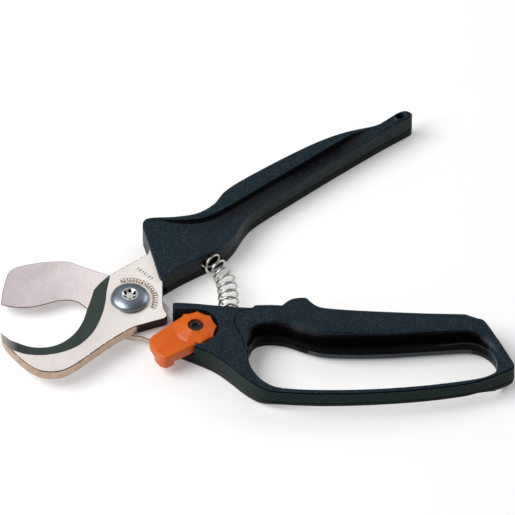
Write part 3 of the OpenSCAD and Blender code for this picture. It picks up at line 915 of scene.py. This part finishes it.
def lower_handle():
    """The lower handle: flat neck with the lock's recess, swelling grip and closed finger loop."""
    lifted = [(x, y + 0.8) for x, y in TOP_EDGE[:-1]] + TOP_EDGE[-1:]
    outline = np.concatenate([smooth(lifted, 0.8), smooth(STOP_BUMP, 0.8), smooth(LOOP_END, 0.8),
                              smooth(LOOP_OUTSIDE, 0.8), straight(NECK_END, 0.8)])
    loop, roll = smooth(LOOP_INSIDE, 0.8, LOOP_ROLL)
    grip_line = smooth(GRIP_LINE, 0.5)
    grip_step, line_depth, bar_drop, bar_rise, crown_high = 0.4, 0.6, 1.2, 2.2, 1.1
    roll_share, deepest_roll = 0.8, 7.6
    recess_z, recess_r, past_front = 6.6, 10.1, 20

    def loop_roll(p):
        """Distance to the loop, the roll's width there, and the nearest point of the loop."""
        d, k, t = nearest(p, loop, True)
        foot = loop[k] * (1 - t)[:, None] + np.roll(loop, -1, 0)[k] * t[:, None]
        return d, roll[k] * (1 - t) + np.roll(roll, -1)[k] * t, foot

    def on_bar(p):
        """1 on the loop's front bar, easing to 0 at its ends."""
        return ease((-40 - p[:, 1]) / 8) * ease((p[:, 0] - 53) / 12) * ease((164 - p[:, 0]) / 14)

    def top(p):
        x, y = p.T
        v = side_of(p, grip_line)[0]
        by_line = (y > -37) * (x > 40)
        grip = ease((v + 0.25) / 0.5) * by_line
        z = HANDLE_T + grip_step * grip * np.clip((66 - x) / 4, 0, 1)
        z -= line_depth * ease(1 - np.abs(v) / 0.55) * by_line * (x < 58)
        z += (HANDLE_T - bar_drop - z) * on_bar(p)
        d, r, foot = loop_roll(p)
        z -= roll_over(d, r, roll_share * np.minimum(r, deepest_roll))
        away = nearest(p, outline, True)[0]
        upper_side = (x > 54) & (y > -24)
        crown = grip * ease(away / 9) * ease((x - 56) / 12) * ease((158 - x) / 12) * ease((y + 34) / 8)
        rim = roll_over(away, np.where(upper_side, 0.9, 0.6), np.where(upper_side, 0.5, 0.4))
        return z + crown_high * crown - rim

    def bottom(p):
        outside = 0.25 + 1.65 * ease((p[:, 0] - 45) / 14) + 2 * ease((p[:, 0] - 146) / 14)
        return (bar_rise * on_bar(p) + roll_over(nearest(p, outline, True)[0], outside, 0.9 * outside)
                + roll_over(nearest(p, loop, True)[0], 3.0, 2.6))

    def zone(p):
        d, r, foot = loop_roll(p)
        u = np.clip(1 - d / r, 0, 0.99)
        slope = roll_share * np.minimum(r, deepest_roll) / r * u / np.sqrt(1 - u * u)
        way = (foot - p) / np.maximum(d, 1e-6)[:, None]
        facing = way @ np.array(GRIP_FRONT) * slope / np.hypot(1, slope)
        # painted shade: the more the roll into the loop faces the front, the darker the copy; the outer rim
        # of the lower part gets the darkest
        step = np.digitize(facing, (0.24, 0.33, 0.42))
        rim = (nearest(p, outline, True)[0] < 0.4) & (p[:, 1] < -20)
        return np.where(step > 0, step + ROLLED - 1, np.where(rim, ROLLED_LAST, 0))

    offsets = [grip_line + np.array([1.0, 0.1]) * s for s in (-0.55, -0.25, 0, 0.25, 0.55)]
    obj = slab("lower_handle_moulded", [outline, loop], top, bottom,
               bands=(0.12, 0.35, 0.7, 1.2, 1.9, 2.8, 4, 5.5), grid=1.8, extra=offsets, walls=6,
               parting=5.5, lean=(1.0, 0.0), lean_width=3.0, zone=zone, wall_index=WALL, low_index=UNDER)
    shade_loop_walls(obj, loop)
    recess = lathe("recess", [(0, recess_z), (recess_r, recess_z), (recess_r, past_front),
                              (0, past_front)], at=LOCK_AT)
    beside = [(8, -7.4), (28.9, -7.4), (28.9, -27.6), (24, -42), (8, -42)]
    combine(obj, combine(recess, prism("side", beside, recess_z, past_front), "UNION"))
    combine(obj, barrel(LOWER_SEAT, LOWER_MOUTH, SPRING_Z, POCKET_R, 8))
    tang = np.concatenate([smooth(BLADE_NOSE, 4), smooth(BLADE_SPINE, 3), straight(BLADE_TANG, 50),
                           smooth(BLADE_ROOT, 2), smooth(BLADE_EDGE, 3)])
    combine(obj, prism("tang", tang, BLADE_BACK - TANG_GAP, BLADE_FRONT + TANG_GAP))
    combine(obj, prism("screw", circle(LOCK_AT, LOCK_HOLE_R, 32), -1, HANDLE_T + 0.6))
    combine(obj, prism("pocket", circle(LOCK_AT, 4.2, 6), -1, BLADE_BACK + 0.5))
    return done(obj, "lower_lever",
                [HANDLE_BLACK, HANDLE_UNDER_SHADED, HANDLE_WALL, *HANDLE_ROLLED_SHADED], ["lower_handle"], 38)


def shade_loop_walls(obj, loop):
    """Gives the walls inside the grip the darkest painted shade, but for their lower strip along the
    fingers.
    """
    count = len(obj.data.polygons)
    centres, indices = np.empty(count * 3), np.empty(count, np.int32)
    obj.data.polygons.foreach_get("center", centres)
    obj.data.polygons.foreach_get("material_index", indices)
    x, y, z = centres.reshape(-1, 3).T
    by_loop = (nearest(np.stack([x, y], 1), loop, True)[0] < 3.2) & (z < 9) & (y > -38)
    high = z > 5.2
    indices[by_loop & high & (indices == WALL)] = ROLLED_LAST
    indices[by_loop & ~high & (x < 78)] = ROLLED_LAST
    indices[by_loop & ~high & (x >= 78) & (x < 150)] = 0
    obj.data.polygons.foreach_set("material_index", indices)


# ---- lock lever


def lock_lever():
    """The lever: a nine-sided scalloped head, a thick arm with eased edges and a deeper thumb lug."""
    hub_r, bore_r, rim_r, scallop, facet_drop = 3.75, 3.5, 9.55, 1.1, 1.65
    base, arm_top = LOCK_LOW + 2.4, 12.35
    sides, per_side = 9, 12
    n = sides * per_side
    turn = math.radians(5) + 2 * math.pi * np.arange(n) / n
    phase = (np.arange(n) % per_side) / per_side
    rim = rim_r - scallop * np.sin(math.pi * phase) ** 0.8
    rim[np.cos(turn - math.radians(216)) > 0.62] = 9.4      # plain where the arm joins
    off_mid = (phase - 0.5) * 2 * math.pi / sides
    flat_r = hub_r * math.cos(math.pi / sides)
    hub = flat_r / np.cos(off_mid)

    def facet(radius):
        return LOCK_HIGH - 0.15 - (radius * np.cos(off_mid) - flat_r) * facet_drop / (9.2 - hub_r)

    profile = [(bore_r, base), (rim - 0.3, base), (rim, base + 0.3), (rim, facet(rim) - 0.45),
               (rim - 0.15, facet(rim - 0.15) - 0.15)]
    for f in (1, 0.75, 0.5, 0.25):
        r = hub + (rim - 0.45 - hub) * f
        profile.append((r, facet(r)))
    profile += [(hub + 0.05, facet(hub + 0.05)), (hub - 0.1, LOCK_HIGH), (bore_r + 0.05, LOCK_HIGH),
                (bore_r, LOCK_HIGH - 0.1)]
    rows = [range(k * n, k * n + n) for k in range(len(profile))]
    verts = []
    for radius, z in profile:
        spots = LOCK_AT + np.stack([radius * np.cos(turn), radius * np.sin(turn)], 1)
        verts += list(np.column_stack([spots, np.broadcast_to(z, n)]))
    faces = [face for a, b in zip(rows, rows[1:] + rows[:1]) for face in quads(a, b)]
    head = upright(mesh_object("lock_lever_moulded", verts, faces))

    arm_walls = smooth(ARM, 0.5)
    arm_loop = np.concatenate([arm_walls, straight([ARM[-1], (28.9, -20), (27, -13), ARM[0]], 1)])

    def arm_top_at(p):
        sag = 0.25 * ease((np.hypot(*(p - LOCK_AT).T) - 14) / 8)
        return arm_top - roll_over(nearest(p, arm_walls)[0], 0.9, 0.8) - sag

    def arm_bottom(p):
        return base + 0.04 + roll_over(nearest(p, arm_walls)[0], 0.4, 0.3)

    lug_loop = straight(LUG + LUG[:1], 0.5)
    lug_loop += (lug_loop.mean(0) - lug_loop) * 0.02        # a hair inside the arm's walls

    def lug_bottom(p):
        return LOCK_LOW + roll_over(nearest(p, lug_loop, True)[0], 0.6, 0.5)

    arm = slab("arm", [arm_loop], arm_top_at, arm_bottom, bands=(0.1, 0.3, 0.6, 1.0), grid=1.2, walls=5)
    lug = slab("lug", [lug_loop], lambda p: np.full(len(p), base + 1.5), lug_bottom,
               bands=(0.1, 0.3, 0.7), grid=1, walls=4)
    combine(arm, lug, "UNION")
    combine(arm, prism("bore", circle(LOCK_AT, bore_r + 0.12, 64), 0, 20))
    combine(head, arm, "UNION")
    done(head, "lock", [LEVER], ["lock_lever"], 24)
    for e in head.data.edges:
        spots = [np.array(head.data.vertices[v].co) / MM for v in e.vertices]
        turns = [(math.atan2(*(q[:2] - LOCK_AT)[::-1]) - turn[0]) * sides / (2 * math.pi) for q in spots]
        if all(abs(t - round(t)) < 0.01 and q[2] > LOCK_HIGH - 2.8 for t, q in zip(turns, spots)):
            e.use_edge_sharp = True


# ---- fasteners, washers and spring


def thread(r, depth, z0, count):
    """The side of a screw's threaded end, as a profile for lathe."""
    return [(r - depth * (k % 2), z0 + 0.25 * k) for k in range(count)]


def pivot_bolt():
    """The bolt: thin flange, smooth dome, lobed socket with a chamfered mouth, shank and thread."""
    flange, thread_r, socket_r, lobe_r, lobes = 0.75, 3.5, 2.45, 0.8, 6
    dome = [(HEAD_R - 0.12, HEAD_Z + 0.8)]
    dome += [(HEAD_R * math.cos(t), HEAD_Z + flange + (HEAD_TOP - HEAD_Z - flange) * math.sin(t))
             for t in np.linspace(0.0, math.pi / 2, 22)[1:]]
    profile = [(0, 0), (3.3, 0), *thread(thread_r, 0.25, 0.15, 10), (thread_r, BLADE_BACK),
               (BOLT_R, BLADE_BACK + 0.3), (BOLT_R, HEAD_Z), (HEAD_R - 0.15, HEAD_Z),
               (HEAD_R, HEAD_Z + 0.15), (HEAD_R, HEAD_Z + 0.5), (HEAD_R - 0.1, HEAD_Z + 0.62), *dome]
    obj = upright(lathe("pivot_bolt_turned", profile, 128))
    combine(obj, lathe("mouth", [(0, HEAD_TOP - 1.3), (socket_r, HEAD_TOP - 1.3),
                                 (socket_r, HEAD_TOP - 0.75), (MOUTH_R, HEAD_TOP + 0.1),
                                 (0, HEAD_TOP + 0.1)]))
    for a in np.radians(30 + 360 / lobes * np.arange(lobes)):
        spot = circle((2.35 * math.cos(a), 2.35 * math.sin(a)), lobe_r, 24)
        combine(obj, prism("lobe", spot, HEAD_TOP - 2.4, HEAD_TOP + 1))
    done(obj, "lower_lever", [BOLT_STEEL], ["pivot_bolt"], 32)


def washer(name, node, inner, bevel=0.12, wave=0.0, gap=0.0):
    """A washer in a CAD node's place, with eased edges, waves or a split of gap radians."""
    low, high = low_high(node)
    centre, outer = (low + high)[:2] / 2, (high - low)[0] / 2
    z0, z1 = low[2] + wave, high[2] - wave
    b = min(bevel, (z1 - z0) / 3)
    profile = [(inner + b, z0), (outer - b, z0), (outer, z0 + b), (outer, z1 - b), (outer - b, z1),
               (inner + b, z1), (inner, z1 - b), (inner, z0 + b)]
    n = 96
    turns = gap / 2 + (2 * math.pi - gap) * np.arange(n + 1 if gap else n) / n
    verts = [(centre[0] + r * math.cos(t), centre[1] + r * math.sin(t), z + wave * math.cos(3 * t))
             for t in turns for r, z in profile]
    m = len(profile)
    rows = [range(k * m, k * m + m) for k in range(len(turns))]
    if not gap:
        rows.append(rows[0])
    faces = [face for a, b in zip(rows, rows[1:]) for face in quads(a, b)]
    if gap:
        faces += [tuple(rows[0]), tuple(rows[-1])]
    obj = upright(mesh_object(name, verts, faces))
    done(obj, "lower_lever", [WASHER_STEEL], [node], 32)


def nut(name, node, hole):
    """A hexagonal nut with chamfered corners and a countersunk thread."""
    low, high = low_high(node)
    centre, z0, z1 = (low + high)[:2] / 2, low[2], high[2]
    r = max((high - low)[:2]) / 2
    obj = upright(lathe(name, [
        (hole + 0.3, z0), (r * 0.9, z0), (r + 0.05, z0 + 0.35), (r + 0.05, z1 - 0.35), (r * 0.9, z1),
        (hole + 0.3, z1), (hole, z1 - 0.3), (hole, z0 + 0.3)], at=centre))
    combine(obj, prism("hex", circle(centre, r, 6), z0 - 1, z1 + 1), "INTERSECT")
    done(obj, "lower_lever", [WASHER_STEEL], [node], 28)


def lock_screw():
    """The black recessed screw: chamfered head with a six-lobed socket and a threaded end."""
    low, high = low_high("lock_screw")
    head_r, z1, z0 = (high - low)[0] / 2, high[2], low[2]
    head_z, thread_r, lobes = z1 - 1.8, 2.0, 6
    obj = upright(lathe("lock_screw_turned", [
        (0, z0), (1.8, z0), *thread(thread_r, 0.15, z0 + 0.15, 9), (thread_r, z0 + 2.6),
        (thread_r, head_z), (head_r - 0.1, head_z), (head_r, head_z + 0.15), (head_r, z1 - 0.45),
        (head_r - 0.18, z1 - 0.12), (head_r - 0.5, z1), (0, z1)], 72))
    around = 2 * math.pi * np.arange(96) / 96
    socket = 1.9 * (0.86 + 0.14 * np.cos(lobes * around))
    combine(obj, prism("socket", np.stack([socket * np.cos(around), socket * np.sin(around)], 1),
                       z1 - 1.2, z1 + 1))
    combine(obj, lathe("mouth", [(0, z1 - 0.3), (1.7, z1 - 0.3), (2.15, z1 + 0.1), (0, z1 + 0.1)], 48))
    obj.data.transform(Matrix.Translation((*LOCK_AT, 0)))
    done(obj, "lower_lever", [SCREW_BLACK], ["lock_screw"], 32)


def return_spring():
    """A wire wound round an axis that bends between the two pockets; each ring follows its own share."""
    path = smooth(SPRING_AXIS, 0.15)
    lengths = np.concatenate([[0], np.cumsum(np.linalg.norm(np.diff(path, axis=0), axis=1))])
    steps_per_turn, sides = 40, 12
    count = TURNS * steps_per_turn + 1
    share = np.linspace(0, 1, count)
    centre = np.stack([np.interp(share * lengths[-1], lengths, path[:, k]) for k in (0, 1)], 1)

    def unit(vectors):
        return vectors / np.linalg.norm(vectors, axis=1)[:, None]

    along = unit(np.gradient(centre, axis=0))
    turn = 2 * math.pi * TURNS * share - math.pi / 2
    radial = np.stack([-along[:, 1] * np.cos(turn), along[:, 0] * np.cos(turn), np.sin(turn)], 1)
    line = np.column_stack([centre, np.full(count, SPRING_Z)]) + (SPRING_R - WIRE_R) * radial
    tangent = unit(np.gradient(line, axis=0))
    binormal = unit(np.cross(tangent, radial))
    normal = np.cross(binormal, tangent)
    verts = [line[k] + WIRE_R * (normal[k] * math.cos(t) + binormal[k] * math.sin(t))
             for k in range(count) for t in 2 * math.pi * np.arange(sides) / sides]
    rows = [range(k * sides, k * sides + sides) for k in range(count)]
    faces = [face for a, b in zip(rows, rows[1:]) for face in quads(a, b)]
    faces += [tuple(rows[0])[::-1], tuple(rows[-1])]
    obj = upright(mesh_object("return_spring_wire", verts, faces))
    obj.data.transform(Matrix.Scale(MM, 4))
    for f in obj.data.polygons:
        f.use_smooth = len(f.vertices) == 4
    obj.data.materials.append(SPRING_STEEL)
    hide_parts("return_spring")
    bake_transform(obj)


hook_plate()
cutting_blade()
upper_handle()
lower_handle()
lock_lever()
pivot_bolt()
washer("pivot_head_washer_thin", "pivot_head_washer", 4.1)
washer("pivot_spring_washer_split", "pivot_spring_washer", 4.15, bevel=0.08, gap=0.12)
washer("lock_wave_washer_formed", "lock_wave_washer", 2.6, bevel=0.05, wave=0.09)
nut("pivot_nut_hex", "pivot_nut", 3.52)
nut("lock_nut_hex", "lock_nut", 2.02)
lock_screw()
return_spring()
for name, look in (("pivot_bush", BRONZE), ("lock_bush", WASHER_STEEL)):
    NODES[name].data.materials.clear()
    NODES[name].data.materials.append(look)

# ---- floor, light and camera


def floor():
    half, below = 12.0, -0.0002
    corners = [(-half, -half, below), (half, -half, below), (half, half, below), (-half, half, below)]
    obj = mesh_object("floor", corners, [(0, 1, 2, 3)])
    look = Look("floor_white")
    look.feed(look.shader, {"Emission Color": (1, 1, 1), "Emission Strength": 0.22})
    obj.data.materials.append(look.finish((0.80, 0.80, 0.80), 0.8))


def area_light(name, at, size, power):
    """A soft light that points at the middle of the shears; at and size in metres, power in watts."""
    data = bpy.data.lights.new(name, "AREA")
    data.shape, data.size, data.size_y = "RECTANGLE", size[0], size[1]
    data.energy = power
    obj = new_object(name, data)
    obj.location = at
    obj.rotation_euler = (Vector((0.05, 0.03, 0)) - Vector(at)).to_track_quat("-Z", "Y").to_euler()


def camera():
    """Looks along +Y and down at the open shears, through a lens long enough to leave no perspective."""
    target = Vector((56.0, 28.2, 6.7)) * MM
    data = bpy.data.cameras.new("camera")
    data.lens, data.sensor_width = 1200, 36
    distance = VIEW_WIDTH * data.lens / data.sensor_width
    data.clip_start, data.clip_end = 0.1, 200
    obj = new_object("camera", data)
    obj.location = target + distance * Vector((0, -0.656, 0.755))
    obj.rotation_euler = (target - obj.location).to_track_quat("-Z", "Y").to_euler()
    bpy.context.scene.camera = obj


floor()
area_light("left_high", (-1.05, -0.15, 1.35), (1.3, 1.3), 31)
area_light("right_back", (1.5, 0.9, 0.8), (1.0, 1.0), 8)
area_light("back_soft", (0.05, 1.4, 1.45), (2.2, 1.5), 4)
camera()
world = bpy.data.worlds.new("studio")
world.use_nodes = True
world.node_tree.nodes["Background"].inputs[0].default_value = (1, 1, 1, 1)
world.node_tree.nodes["Background"].inputs[1].default_value = 0.2
bpy.context.scene.world = world
bpy.context.scene.view_settings.view_transform = "Standard"
